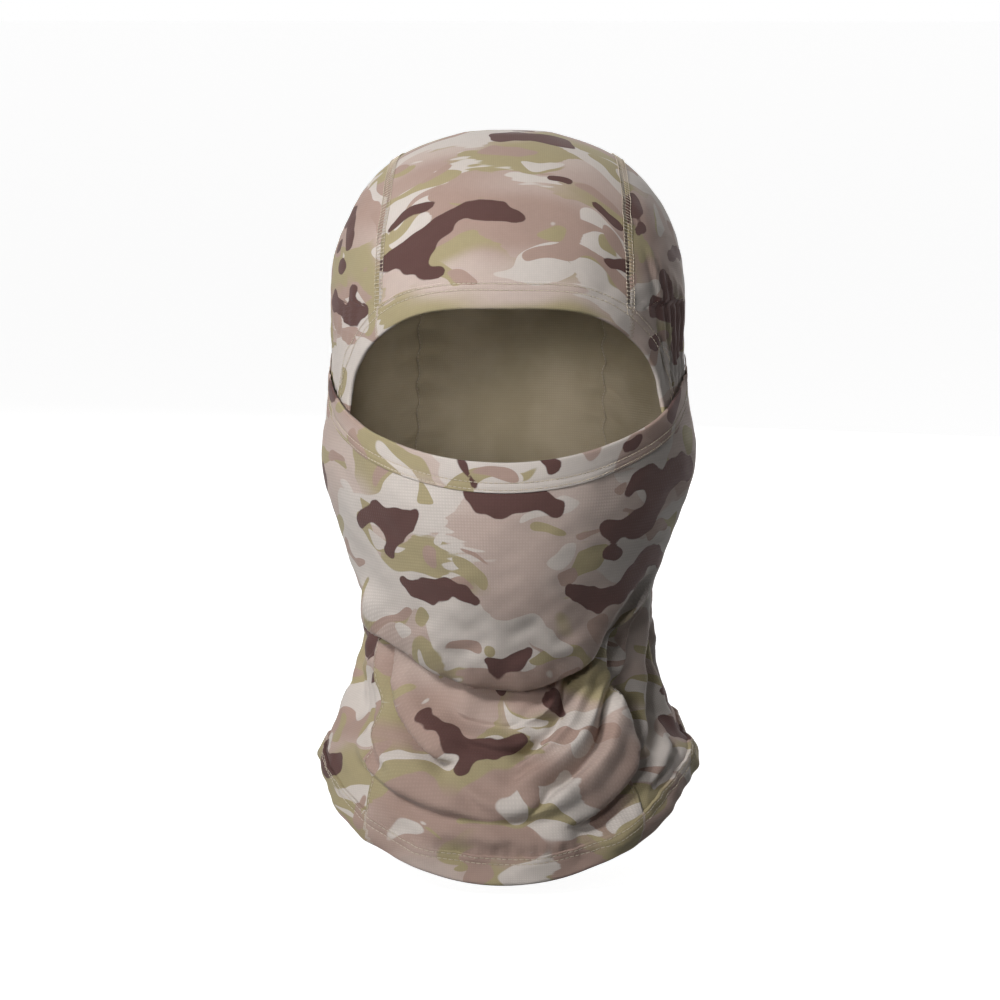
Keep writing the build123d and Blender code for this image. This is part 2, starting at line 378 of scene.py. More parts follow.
class Fold:
    """A ridge in the cloth. The right of its path is its sharp side: it leans over that way, above a dip."""

    def __init__(self, path, rise, soft, sharp, dip=0.0, lean=0.0, fade=0.22, hollow=None):
        """The path is (turn in degrees, height in mm). The rest are mm, but for fade, a share of the path."""
        self.hollow = (hollow or 1.2 * sharp) * MM
        turns = [turn for turn, _ in path]
        self.middle = (min(turns) + max(turns)) / 2 * DEGREE
        scaled = [(turn * DEGREE * MEAN_RADIUS, z * MM) for turn, z in path]
        self.path = smooth_path(scaled)
        self.rise, self.soft, self.sharp = rise * MM, soft * MM, sharp * MM
        self.dip, self.lean, self.fade = dip * MM, lean * MM, fade

    def shift(self, turn, z):
        """How far the fold moves the cloth: outwards, round the head and up."""
        turn = (turn - self.middle + math.pi) % (2 * math.pi) - math.pi + self.middle
        place = np.stack([turn * MEAN_RADIUS, z], -1)
        low = self.path.min(0) - 3 * max(self.soft, self.hollow)
        high = self.path.max(0) + 3 * max(self.soft, self.hollow)
        near = ((place > low) & (place < high)).all(-1)
        moved = np.zeros(turn.shape + (3,))
        if not near.any():
            return moved
        place = place[near]
        start, step = self.path[:-1], np.diff(self.path, axis=0)
        length = np.linalg.norm(step, axis=1)
        offset = place[:, None, :] - start
        share = np.clip((offset * step).sum(-1) / length**2, 0, 1)
        gap = offset - share[..., None] * step
        best = np.linalg.norm(gap, axis=-1).argmin(1)
        rows = np.arange(len(place))
        right = np.stack([step[:, 1], -step[:, 0]], -1) / length[:, None]
        right = right[best]
        distance = np.linalg.norm(gap[rows, best], axis=-1)
        side = np.sign((gap[rows, best] * right).sum(-1))
        across = distance * np.where(side == 0, 1, side)
        walked = np.concatenate([[0], np.cumsum(length)])
        along = (walked[best] + share[rows, best] * length[best]) / walked[-1]
        strength = soft_step(along / self.fade) * soft_step((1 - along) / self.fade)
        width = np.where(across < 0, self.soft, self.sharp)
        out = self.rise * np.exp(-((across / width) ** 2))
        out -= self.dip * np.exp(-(((across - self.sharp - 0.6 * self.hollow) / self.hollow) ** 2))
        over = self.lean * np.exp(-((across / (1.6 * self.sharp)) ** 2))
        moved[near, 0] = out * strength
        moved[near, 1] = right[:, 0] * over * strength
        moved[near, 2] = right[:, 1] * over * strength
        return moved


def make_folds():
    """Every fold of the hood: at the chin, the sides of the bib, the skirt, the temples and the nape."""
    folds = [
        # the face part hangs over the throat
        Fold([(-74, -93), (-60, -102), (-44, -115), (-28, -125), (-9, -131), (8, -132), (22, -128),
              (38, -117), (52, -106), (72, -93)], 4.5, 11, 2.6, 9.0, 6.5, 0.10, 10),
        # from the right jaw down to the middle of the bib, over the flap beside it
        Fold([(-66, -94), (-53, -112), (-45, -134), (-36, -149), (-25, -160), (-12, -170)],
             6.5, 6.5, 1.5, 7, 5.5, 0.12, 5),
        Fold([(-62, -128), (-54, -148), (-44, -164), (-30, -176)], 2.6, 4.5, 2.4, 3, 2),
        # from the left jaw down to the middle, each over a hollow nearer the middle
        Fold([(72, -92), (55, -107), (44, -123), (36, -140), (26, -154), (12, -168), (0, -176)],
             5.5, 5, 2.0, 7, 3.5, 0.14, 5),
        Fold([(50, -122), (40, -144), (29, -158), (14, -173), (-2, -184)], 3.6, 3.6, 1.7, 4, 2.4, 0.2, 3.4),
        Fold([(40, -118), (28, -136), (14, -148), (0, -155)], 2.4, 3.2, 1.6, 2.8, 1.6, 0.25, 3),
        Fold([(-14, -178), (-4, -186), (6, -187), (15, -180)], 2.0, 3.2, 1.6, 2.4, 1.2, 0.25, 3),
        Fold([(58, -118), (50, -136), (44, -152), (34, -168), (20, -183), (4, -194)],
             5, 4.6, 2.0, 5.5, 3, 0.2, 4.5),
        Fold([(16, -198), (34, -184), (45, -166), (47, -148), (45, -132), (49, -116), (58, -102)],
             4.8, 5, 1.7, 9, 3.5, 0.14, 8),
        Fold([(50, -170), (60, -154), (70, -140), (76, -122), (77, -104)], 5, 6, 2.4, 6, 2.5, 0.2, 5),
        Fold([(80, -168), (84, -142), (84, -114)], 3, 6, 3, 3, 1),
        # the bib under the chin, and over the skirt
        Fold([(-26, -142), (-8, -148), (10, -148), (26, -139)], 3.4, 6.5, 2.4, 4, 2.6, 0.25, 4),
        Fold([(-16, -156), (0, -161), (12, -158)], 1.8, 4.5, 2.2, 2.4, 1.2),
        Fold([(-58, -162), (-40, -176), (-22, -186), (-3, -190), (14, -188), (26, -182)],
             3.6, 7, 2.6, 4, 2.8, 0.2, 6),
        Fold([(-50, -184), (-30, -194), (-6, -200), (20, -197)], 1.4, 6, 4, 0.9, 0.6, 0.4),
        Fold([(48, -184), (60, -172), (72, -163)], 2.6, 5, 2.6, 2.6, 1.5),
        # loose cloth beside the neck
        Fold([(-76, -104), (-73, -128), (-75, -152)], 1.2, 5, 4, 1.5),
        Fold([(-62, -122), (-67, -140), (-62, -154)], 1.4, 4, 2.2, 2.2, 1),
        Fold([(-70, -160), (-84, -150), (-92, -136), (-94, -112)], 2.6, 6, 4, 2.5, 1),
        Fold([(92, -112), (99, -134), (96, -156)], 2.2, 7, 4, 2, 1),
        # the nape
        Fold([(118, -90), (150, -103), (180, -108), (212, -103), (241, -92)], 3, 9, 4, 2.5, 2),
        Fold([(124, -112), (152, -126), (186, -131), (216, -124), (238, -113)], 3.4, 9, 4, 3, 2),
        Fold([(130, -139), (160, -150), (188, -152), (218, -146), (234, -137)], 2.6, 8, 4, 2.5, 2),
        Fold([(96, -54), (112, -78), (134, -97)], 1.8, 7, 4, 1.5, 1),
        Fold([(264, -52), (247, -76), (228, -95)], 1.8, 7, 4, 1.5, 1),
    ]
    # stretch pleats that run down into the corners of the eye opening
    for k in range(5):
        turn = 57 + 4.5 * k
        folds.append(Fold([(turn - 2, 66 - 5 * k), (turn + 3, 30), (turn + 11 - k, -10)], 1.2, 2.6, 1.8, 0.8))
        folds.append(Fold([(-turn - 12 + k, -12), (-turn - 3, 22), (-turn, 48 - 5 * k)], 0.7, 2.6, 1.8, 0.5))
    # puckers along the two seams down the back of the head
    for k in range(9):
        z = 62 - 13 * k
        folds.append(Fold([(136, z - 7), (147, z), (158, z + 1)], 1.4, 3.2, 2.4, 1.0))
        folds.append(Fold([(224, z - 3), (212, z + 3), (201, z + 2)], 1.4, 3.2, 2.4, 1.0))
    return folds


FOLDS = make_folds()
WAVES = np.random.default_rng(7)


def random_waves(count, length, tilt, spread):
    """Wave vectors and phases of a field of ripples: mm from crest to crest, and degrees from level."""
    lengths = length * MM * WAVES.uniform(0.7, 1.5, count)
    angles = (tilt + spread * WAVES.normal(0, 1, count)) * DEGREE
    vectors = np.stack([np.cos(angles), np.sin(angles)], -1) * (2 * math.pi / lengths)[:, None]
    # whole waves round the head, so that the ripples meet at the back
    vectors[:, 0] = np.round(vectors[:, 0] * MEAN_RADIUS) / MEAN_RADIUS
    return vectors, WAVES.uniform(0, 2 * math.pi, count)


LOOSE_WAVES = random_waves(14, 34, 60, 50)
SMALL_WAVES = random_waves(16, 11, 80, 40)


def ripple(turn, z, waves):
    """A field of ripples of about unit size."""
    vectors, phases = waves
    place = np.stack([turn * MEAN_RADIUS, z], -1)
    total = np.cos(place @ vectors.T + phases).sum(-1)
    return total / math.sqrt(len(phases) / 2)


# Where the cloth swells out or sinks in: turn in degrees, height in mm, how wide, how tall, how far in mm
SWELLS = [(0, -139, 50, 15, -5.5), (86, -34, 20, 20, 3.6), (-88, -38, 20, 18, 2.2), (-90, -138, 28, 26, -2.8),
          (92, -144, 26, 26, -1.8), (67, -138, 15, 24, -6.5)]
HEM_PUCKER = 6.5 * MM  # from one gather to the next along the hem's stitches


def drape(points, lift):
    """Points of the form moved out by a lift, and into the folds that the cloth has there."""
    turn, z = form_turn(points), points[..., 2]
    normal = form_normal(points)
    level = np.cross((0, 0, 1), normal)
    level = level / np.maximum(np.linalg.norm(level, axis=-1, keepdims=True), 1e-9)
    upward = np.cross(normal, level)
    moved = sum(fold.shift(turn, z) for fold in FOLDS)
    # the cloth hangs loose below the jaw, and lies smooth over the crown
    loose = soft_step((-85 * MM - z) / (50 * MM))
    moved[..., 0] += (0.25 + 0.85 * loose) * MM * ripple(turn, z, LOOSE_WAVES)
    moved[..., 0] += (0.10 + 0.18 * loose) * MM * ripple(turn, z, SMALL_WAVES)
    below_crown = soft_step((95 * MM - z) / (20 * MM))
    moved *= below_crown[..., None]
    out = moved[..., 0] + lift
    for middle, height, wide, tall, far in SWELLS:
        beside = (turn - middle * DEGREE) / (wide * DEGREE)
        above = (z - height * MM) / (tall * MM)
        out += far * MM * np.exp(-(beside**2) - above**2)
    above_hem = z - hem_height(points[..., 1]) - 13 * MM
    gathers = np.cos(np.round(2 * math.pi * MEAN_RADIUS / HEM_PUCKER) * turn + 3 * np.sin(5 * turn))
    out += 0.22 * MM * gathers * np.exp(-((above_hem / (5 * MM)) ** 2))
    return points + normal * out[..., None] + level * moved[..., 1:2] + upward * moved[..., 2:3]


# ---------------------------------------------------------------- the print


def chain_distance(place, chains):
    """How far each place is outside blotches made of chains of circles joined up: below 0 is inside one."""
    blend = 1.6 * MM
    total = np.zeros(place.shape[:-1])
    for chain in chains:
        circles = smooth_path(chain, 6) * MM if len(chain) > 1 else np.array(chain * 2) * MM
        least = np.full(place.shape[:-1], np.inf)
        for (ax, ay, ar), (bx, by, br) in zip(circles, circles[1:]):
            start, step = np.array([ax, ay]), np.array([bx - ax, by - ay])
            share = np.clip(((place - start) @ step) / max(step @ step, 1e-12), 0, 1)
            gap = np.linalg.norm(place - start - share[..., None] * step, axis=-1)
            least = np.minimum(least, gap - (ar + (br - ar) * share))
        total += np.exp(-least / blend)
    return -blend * np.log(np.maximum(total, 1e-12))


def scattered_chains(seed, left, right, low, high, count):
    """Scattered blotches: each wanders a few steps, mostly sideways, and most have a satellite."""
    random = np.random.default_rng(seed)
    chains, taken = [], []
    for _ in range(count * 12):
        if len(taken) == count:
            break
        start = np.array([random.uniform(left, right), random.uniform(low, high)])
        if any(np.hypot(*((start - other) * (1, 1.5))) < 46 for other in taken):
            continue
        taken.append(start)
        heading = random.choice([0, math.pi]) + random.uniform(-0.6, 0.6)
        place, radius, chain = start, random.uniform(5, 7.5), []
        for _ in range(random.integers(3, 6)):
            chain.append((place[0], place[1], radius))
            place = place + np.array([math.cos(heading), 0.8 * math.sin(heading)]) * random.uniform(9, 14)
            heading += random.uniform(-0.9, 0.9)
            radius = np.clip(radius * random.uniform(0.6, 1.35), 3, 8.5)
        chains.append(chain)
        if random.random() < 0.7:
            aside = random.uniform(-8, 8)
            above = random.choice([-1, 1]) * random.uniform(13, 17)
            x, y = start + np.array([aside, above])
            chains.append([(x, y, 2.6), (x + 4, y + 1, 3)])
    return chains


def on_front(chains):
    """Chains whose points are (turn in degrees, height, radius) as lengths of cloth."""
    return [[(turn * DEGREE * MEAN_RADIUS / MM, z, r) for turn, z, r in chain] for chain in chains]


DARK = {
    "front": on_front([
        # the wearer's left cheek, the heaviest group
        [(78, -44, 4), (67, -40, 7), (58, -47, 7.5), (50, -41, 5.5), (43, -46, 3.5)],
        [(58, -46, 6), (52, -59, 7), (41, -64, 5), (34, -61, 3)],
        [(36, -73, 2.6), (41, -75, 3.4)],
        [(72, -84, 3), (62, -78, 5.5), (53, -85, 6.5), (45, -93, 5), (33, -94, 6), (24, -90, 3)],
        [(56, -84, 5), (60, -94, 3)],
        # the right cheek
        [(-53, -62, 3), (-46, -57, 5), (-37, -61, 6), (-29, -57, 3.5)],
        [(-37, -62, 5), (-41, -73, 3.6)],
        [(-37, -87, 3), (-29, -91, 5.5), (-19, -88, 4.5), (-10, -93, 2.6)],
        [(-78, -44, 4), (-84, -56, 5), (-80, -66, 3)],
        # under the band
        [(-10, -47, 3), (-2, -51, 5), (8, -48, 5.4), (17, -52, 3.4)],
        # throat and skirt
        [(-6, -121, 2), (0, -125, 3.6), (9, -120, 3)],
        [(-3, -137, 2.6), (-1, -139, 3.2)],
        [(-30, -150, 2.2), (-21, -155, 3.4), (-12, -163, 4.6), (-1, -162, 5), (6, -158, 2.8)],
        [(-10, -163, 3.2), (-13, -173, 2.4)],
        [(19, -143, 3.2), (25, -146, 4.2)],
        [(46, -168, 2.6), (53, -160, 4.6), (61, -158, 3.4)],
        [(-66, -118, 2.6), (-70, -125, 3.2)],
    ]),
    "crown": [
        [(-47, 31, 5), (-39, 27, 8), (-29, 33, 6.5), (-20, 42, 5), (-8, 43, 6), (3, 39, 4.4)],
        [(-38, 27, 6), (-33, 15, 4.4), (-26, 11, 2.4)],
        [(-46, 50, 2.4), (-38, 53, 3.4), (-31, 51, 2.6)],
        [(38, 55, 2.2), (45, 52, 3)],
        [(20, 66, 2), (25, 66, 2.4)],
        [(50, 30, 3.8), (43, 24, 2.6)],
    ] + scattered_chains(3, -48, 48, 95, 520, 14),
    "left": scattered_chains(11, 75, 215, -170, 90, 13) + on_front([[(62, 52, 4), (66, 42, 5), (70, 34, 3)]]),
    "right": scattered_chains(5, -215, -75, -170, 90, 13) + on_front(
        [[(-58, 46, 3), (-61, 34, 4)], [(-62, -176, 4), (-70, -179, 6), (-77, -173, 5)]]),
    "band": [[(18, 0, 2.5), (21, -3, 3)], [(56, -4, 2.6), (60, -3, 2.6)], [(86, -2, 4), (97, 2, 5)],
             [(-12, -9, 1.5), (-18, 2, 1.5)], [(-96, 0, 4), (-108, -4, 4)]],
}


def set_attribute(mesh, name, kind, values):
    attribute = mesh.attributes.new(name, kind, "POINT")
    field = "vector" if kind == "FLOAT_VECTOR" else "value"
    attribute.data.foreach_set(field, values.astype(np.float32).ravel())


def new_mesh(name, points, faces, materials):
    """A smooth-shaded mesh object."""
    mesh = bpy.data.meshes.new(name)
    mesh.from_pydata(points.reshape(-1, 3).tolist(), [], faces)
    mesh.polygons.foreach_set("use_smooth", [True] * len(mesh.polygons))
    for material in materials:
        mesh.materials.append(material)
    made = bpy.data.objects.new(name, mesh)
    bpy.context.scene.collection.objects.link(made)
    return made


def grid_faces(rows, columns, closed=False):
    """The faces of a grid of points whose rows run up or down and whose columns run towards +turn."""
    index = np.arange(rows * columns).reshape(rows, columns)
    if closed:
        index = np.concatenate([index, index[:1]])
    return np.stack([index[:-1, :-1], index[:-1, 1:], index[1:, 1:], index[1:, :-1]], -1).reshape(-1, 4)


def facing_out(points, faces, judged=None):
    """The faces, turned round if the first few of them look into the hood."""
    flat = points.reshape(-1, 3)
    a, b, c = (flat[faces[:judged, k]] for k in (0, 1, 2))
    middle = (a + c) / 2
    out = (np.cross(b - a, c - b) * form_normal(middle)).sum()
    return faces if out > 0 else faces[:, ::-1]


# Each panel is cut from its own stretch of the printed cloth
PRINT_ORIGIN = {
    "front": (-0.21, 0),
    "crown": (0.35, 0.12),
    "left": (0.8, 0.5),
    "right": (1.3, 0.9),
    "band": (1.7, 0.3),
}


def set_print(mesh, places, panels, panel_of=0):
    """Store the print's coordinates and its dark blotches' distance. panel_of numbers each place's panel."""
    place, blotch = places[0], chain_distance(places[0], DARK[panels[0]])
    place = place + PRINT_ORIGIN[panels[0]]
    for number, panel in enumerate(panels[1:], 1):
        here = panel_of == number
        place = np.where(here[..., None], places[number] + PRINT_ORIGIN[panel], place)
        blotch = np.where(here, chain_distance(places[number], DARK[panel]), blotch)
    set_attribute(mesh, "print_place", "FLOAT_VECTOR", np.concatenate([place, 0 * place[..., :1]], -1))
    set_attribute(mesh, "blotch", "FLOAT", blotch)


def side_print(points):
    """A side panel's print coordinates: the way round the head, and up along it."""
    tall = np.concatenate([[0], np.cumsum(np.hypot(np.diff(HEIGHTS), np.diff(HALF_WIDTH)))]) + HEIGHTS[0]
    return np.stack([form_turn(points) * MEAN_RADIUS, np.interp(points[..., 2], HEIGHTS, tall)], -1)


def cloth_piece(name, base, lift, print_place, panel, materials):
    """One panel: a draped grid of cloth with its print, given the thickness of the knit."""
    points = drape(base, lift)
    faces = facing_out(points, grid_faces(*base.shape[:2]))
    made = new_mesh(name, points, faces.tolist(), materials)
    set_print(made.data, [print_place], [panel])
    thick = made.modifiers.new("thickness", "SOLIDIFY")
    thick.thickness = CLOTH
    thick.offset = -1
    thick.material_offset = 1
    thick.material_offset_rim = 1
    return made, points


# ---------------------------------------------------------------- the panels


def band_height(y, down):
    """The height of a line on the face band, a distance down from its top edge."""
    return BAND_TOP + BAND_SLOPE * y - down * math.hypot(1, BAND_SLOPE)


HEM_TUCK = 6 * MM  # the panels end this far up inside the hem


def near_ear(turn):
    """0 over the face, rising to 1 beside the ears."""
    return soft_step((np.abs(turn) - 58 * DEGREE) / (30 * DEGREE))


def level_line(turn, start, level, times):
    """The form points at some turns on a line of height level(y)."""
    z = np.full_like(turn, start)
    for _ in range(times):
        z = level(form_point(turn, z)[..., 1])
    return form_point(turn, z)


def settle(turn_share, level):
    """The height of a line of height level(y) at each share of the way to the side seam."""
    z = np.full_like(turn_share, -60 * MM)
    for _ in range(12):
        z = level(form_point(turn_share * side_seam_turn(z), z)[..., 1])
    return z


def make_front_cloth(materials):
    """Face panel and bib: one cloth from under the face band down to the hem, between the side seams."""
    wide, tall = 250 * MM, 185 * MM
    under_band = BINDING_WIDTH - 5 * MM
    share = np.linspace(-1, 1, int(wide / FINE))
    top = settle(share, lambda y: band_height(y, under_band))
    bottom = settle(share, lambda y: hem_height(y) + HEM_TUCK)
    rows = np.linspace(0, 1, int(tall / FINE))[:, None]
    z = top + (bottom - top) * rows
    turn = share * side_seam_turn(z)
    above_chin = soft_step((z + 128 * MM) / (36 * MM))
    lift = BIB_LIFT - 0.2 * MM + (FACE_LIFT - BIB_LIFT - 0.3 * MM) * above_chin
    # it comes down to the side panels at the ears and along the side seams
    edge = soft_step((np.abs(share) - 0.92) / 0.08)
    near_end = near_ear(turn) * soft_step(z / (60 * MM) + 1)
    lift = lift * (1 - 0.7 * near_end)
    lift = lift + (CLOTH + 0.2 * MM - lift) * edge
    print_place = np.stack([turn * MEAN_RADIUS, z], -1)
    return cloth_piece("front_cloth", form_point(turn, z), lift, print_place, "front", materials)


BROW_TUCK = 0.6  # the panels end this share of the way up under the brow binding


def brow_turn(z, share):
    """The turn of a line on the left half of the brow binding, at some heights."""
    line = brow_line(share)
    left = line[len(line) // 2:]
    x = np.interp(z, left[::-1, 1], left[::-1, 0])
    return np.arcsin(np.clip(x / form_size(z)[0], -1, 1))


def crown_seam_turn(z, behind):
    """The turn of the left crown seam at some heights, in front of the top or behind it."""
    half_width, front, back = form_size(z)
    turn = np.full_like(z, 0.9)
    for _ in range(30):
        y = np.cos(turn) * (back if behind else -front)
        turn = np.arcsin(np.clip(seam_x(y) / half_width, 0, 1))
    return math.pi - turn if behind else turn


def side_edge_turn(z):
    """The turn of the left side panel's front edge: under the brow binding, then under the front cloth."""
    corner = np.interp(seam_x(-80 * MM), BROW_OUTER[60:, 0], BROW_OUTER[60:, 1])
    under_front = side_seam_turn(z) - 8 * DEGREE
    under_brow = brow_turn(np.clip(z, -15 * MM, None), 0.55)
    mix = soft_step((z + 40 * MM) / (22 * MM))
    return np.where(z > corner, crown_seam_turn(z, False), under_front + (under_brow - under_front) * mix)


def make_side_cloth(name, sign, panel, materials):
    """A side panel, from the crown seam to the hem, its front edge under the brow binding and front cloth."""
    columns, rows = int(150 * MM / COARSE), int(330 * MM / COARSE)
    top = np.interp(seam_x(0), HALF_WIDTH[::-1][:60], HEIGHTS[::-1][:60])
    # the rows lie closer together towards the crown
    down = np.linspace(1, 0, rows)
    bend = 0.25
    down = (np.sqrt(down**2 + bend**2) - bend) / (math.sqrt(1 + bend**2) - bend)
    share = np.linspace(0, 1, columns)
    levels = np.linspace(-232 * MM, top, 400)
    front_turn = side_edge_turn(levels)
    back_turn = crown_seam_turn(levels, True)
    bottom = np.full(columns, -180 * MM)
    for _ in range(12):
        ahead, behind = (np.interp(bottom, levels, turns) for turns in (front_turn, back_turn))
        bottom = hem_height(form_point(ahead + (behind - ahead) * share, bottom)[..., 1]) + HEM_TUCK
    z = top - (top - bottom) * down[:, None]
    ahead, behind = (np.interp(z, levels, turns) for turns in (front_turn, back_turn))
    turn = (ahead + (behind - ahead) * share) * sign
    base = form_point(turn, z)
    return cloth_piece(name, base, 0 * z, side_print(base), panel, materials)


def make_crown_cloth(materials):
    """The centre strip, from under the brow binding over the crown and down the back to the hem."""
    wide, over_crown = 104 * MM, 330 * MM
    share = np.linspace(-1, 1, int(wide / COARSE))
    hub = 20 * MM  # the height that rays are sent out from, to find the form over the crown
    rear = 80 * MM
    middle_line = brow_line(BROW_TUCK)
    y = np.full_like(share, -80 * MM)
    for _ in range(6):
        x = share * seam_x(y)
        z = np.interp(x, middle_line[:, 0], middle_line[:, 1])
        y = form_point(np.arcsin(x / form_size(z)[0]), z)[..., 1]
    first = np.arctan2(z - hub, -y)
    angle = first + (math.pi - first) * np.linspace(0, 1, int(over_crown / COARSE))[:, None]
    near, far = np.zeros_like(angle), np.full_like(angle, 0.2)
    for _ in range(40):
        radius = (near + far) / 2
        y = -radius * np.cos(angle)
        points = np.stack([share * seam_x(y), y, hub + radius * np.sin(angle)], -1)
        inside = outside(points) < 0
        near, far = np.where(inside, radius, near), np.where(inside, far, radius)
    bottom = hem_height(rear) + HEM_TUCK
    z = np.linspace(hub, bottom, int((hub - bottom) / COARSE))[1:, None] + 0 * share
    y = np.full_like(z, rear)
    for _ in range(6):
        x = share * seam_x(y)
        y = form_point(math.pi - np.arcsin(x / form_size(z)[0]), z)[..., 1]
    base = np.concatenate([points, np.stack([share * seam_x(y), y, z], -1)])
    middle = base[:, len(share) // 2]
    walked = walked_along(middle)
    print_place = np.stack([share * SEAM_X + 0 * walked[:, None], walked[:, None] + 0 * share], -1)
    made, grid = cloth_piece("crown_cloth", base, np.zeros(base.shape[:2]), print_place, "crown", materials)
    return made, grid, walked[-1] + bottom


# ---------------------------------------------------------------- the bindings and the hem


def binding_piece(name, stations, section, prints, panels, material, lay=drape):
    """A folded strip: stations(d) is its line of form points at d from its edge, section a loop of (d, lift).
    prints(line, d) gives the print coordinates for each named panel, and which panel each point is on."""
    lines = [stations(down) for down, _ in section]
    points = np.array([lay(line, np.full(len(line), lift)) for line, (_, lift) in zip(lines, section)])
    rows, columns = points.shape[:2]
    faces = facing_out(points, grid_faces(rows, columns, closed=True), columns * (rows // 3))
    loop = [row * columns for row in range(rows)]
    ends = [loop, [first + columns - 1 for first in loop]]
    clockwise = faces[0][1] == faces[0][0] + 1
    ends[0 if clockwise else 1].reverse()
    made = new_mesh(name, points, faces.tolist() + ends, [material])
    printed = [prints(line, down) for line, (down, _) in zip(lines, section)]
    places = [np.array([row[0][k] for row in printed]) for k in range(len(panels))]
    set_print(made.data, places, panels, np.array([row[1] for row in printed]))
    return made


def folded_section(width, outer, inner, grooves):
    """A loop of (distance from the edge, lift) in metres round a folded strip, dented at each stitch row."""
    across = [0.0, 0.15, 0.5, 1.0, 2.0, 3.5, 5.0, 6.2]
    for groove in grooves:
        across += [groove - 0.9, groove - 0.45, groove, groove + 0.45, groove + 0.9]
    across = np.array(sorted(across + [width - 0.4, width, width + 0.15]))
    round_edge = np.sqrt(np.clip(1 - (1 - np.clip(across / 1.0, 0, 1)) ** 2, 0, 1))
    round_far = np.sqrt(np.clip(1 - (np.clip((across - width + 0.6) / 0.8, 0, 1)) ** 2, 0, 1))
    middle = (outer + inner) / 2
    puff = 0.12 * np.sin(math.pi * np.clip(across / grooves[0], 0, 1))
    dents = sum(0.28 * np.exp(-(((across - groove) / 0.5) ** 2)) for groove in grooves)
    top = middle + (outer - middle) * round_edge * (0.35 + 0.65 * round_far) + puff - dents
    bottom = middle - (middle - inner) * round_edge * (0.35 + 0.65 * round_far)
    loop = list(zip(across, top)) + list(zip(across[::-1], bottom[::-1]))[:-1]
    return [(down * MM, lift * MM) for down, lift in loop]


STITCH_ROWS = (8.2, 11.0)


def band_stations(down):
    """The form points of a line along the face band, from ear to ear, a distance down from its top edge."""
    rear_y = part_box("face_binding")[1].y
    ends = math.pi / 2 + rear_y / BACK[len(BACK) // 2]
    turn = np.linspace(-ends, ends, int(290 * MM / (1.6 * MM)))
    return level_line(turn, -30 * MM, lambda y: band_height(y, down), 12)


def band_drape(line, lift):
    """The band's cloth: it lies close to the hood where its two ends are sewn down."""
    return drape(line, lift * (1 - 0.8 * near_ear(form_turn(line))))


def make_face_band(material):
    """The binding along the top of the face part."""
    section = folded_section(12.0, 4.3, 2.5, STITCH_ROWS)

    def prints(line, down):
        return [np.stack([form_turn(line) * MEAN_RADIUS, -down + 0 * line[:, 0]], -1)], 0 * line[:, 0]

    return binding_piece("face_band", band_stations, section, prints, ["band"], material, band_drape)


def brow_stations(down):
    """The form points of a line round the brow binding, a distance out. Its ends run on under the band."""
    line = BROW_INNER + (BROW_OUTER - BROW_INNER) * down / BINDING_WIDTH
    fine = np.linspace(0, len(line) - 1, 180)
    x, z = (np.interp(fine, np.arange(len(line)), line[:, k]) for k in (0, 1))
    turn = np.arcsin(np.clip(x / form_size(z)[0], -1, 1))
    below = np.arange(1, 16) * 1.3 * MM
    tails = []
    for end in (0, -1):
        tail = z[end] - below
        further = side_edge_turn(tail) - side_edge_turn(z[end:] if end else z[:1])
        tails.append((turn[end] + np.sign(turn[end]) * further, tail))
    turn = np.concatenate([tails[0][0][::-1], turn, tails[1][0]])
    z = np.concatenate([tails[0][1][::-1], z, tails[1][1]])
    return form_point(turn, z)


def crown_across(line):
    """How far across the centre strip's print a line's points are."""
    return line[:, 0] * SEAM_X / seam_x(line[:, 1])


def make_brow_binding(material):
    """The binding round the brow, its ends under the face band."""
    section = folded_section(12.0, 0.6, -1.5, STITCH_ROWS)

    def prints(line, down):
        crown = np.stack([crown_across(line), down - BROW_TUCK * BINDING_WIDTH + 0 * line[:, 0]], -1)
        beside = np.abs(line[:, 0]) > seam_x(line[:, 1])
        panel = np.where(beside, np.where(line[:, 0] > 0, 1, 2), 0)
        return [crown, side_print(line), side_print(line)], panel

    panels = ["crown", "left", "right"]
    return binding_piece("brow_binding_fold", brow_stations, section, prints, panels, material)


def hem_stations(up):
    """The form points of a line right round the hem, a distance up from its bottom edge."""
    return level_line(np.linspace(-math.pi, math.pi, 361), -190 * MM, lambda y: hem_height(y) + up, 15)


def make_hem(crown_length, material):
    """The turned-up hem all round the skirt."""
    section = folded_section(12.0, 1.7, -0.9, STITCH_ROWS)

    def prints(line, up):
        turn = form_turn(line)
        beside, behind = np.abs(turn) > side_seam_turn(line[:, 2]), np.abs(line[:, 0]) < seam_x(line[:, 1])
        panel = np.where(beside, np.where(turn > 0, 1, 2), 0)
        panel = np.where(behind & (line[:, 1] > 0), 3, panel)
        front = np.stack([turn * MEAN_RADIUS, line[:, 2]], -1)
        crown = np.stack([crown_across(line), crown_length - line[:, 2]], -1)
        return [front, side_print(line), side_print(line), crown], panel

    panels = ["front", "left", "right", "crown"]
    return binding_piece("hem_fold", hem_stations, section, prints, panels, material)


# ---------------------------------------------------------------- threads


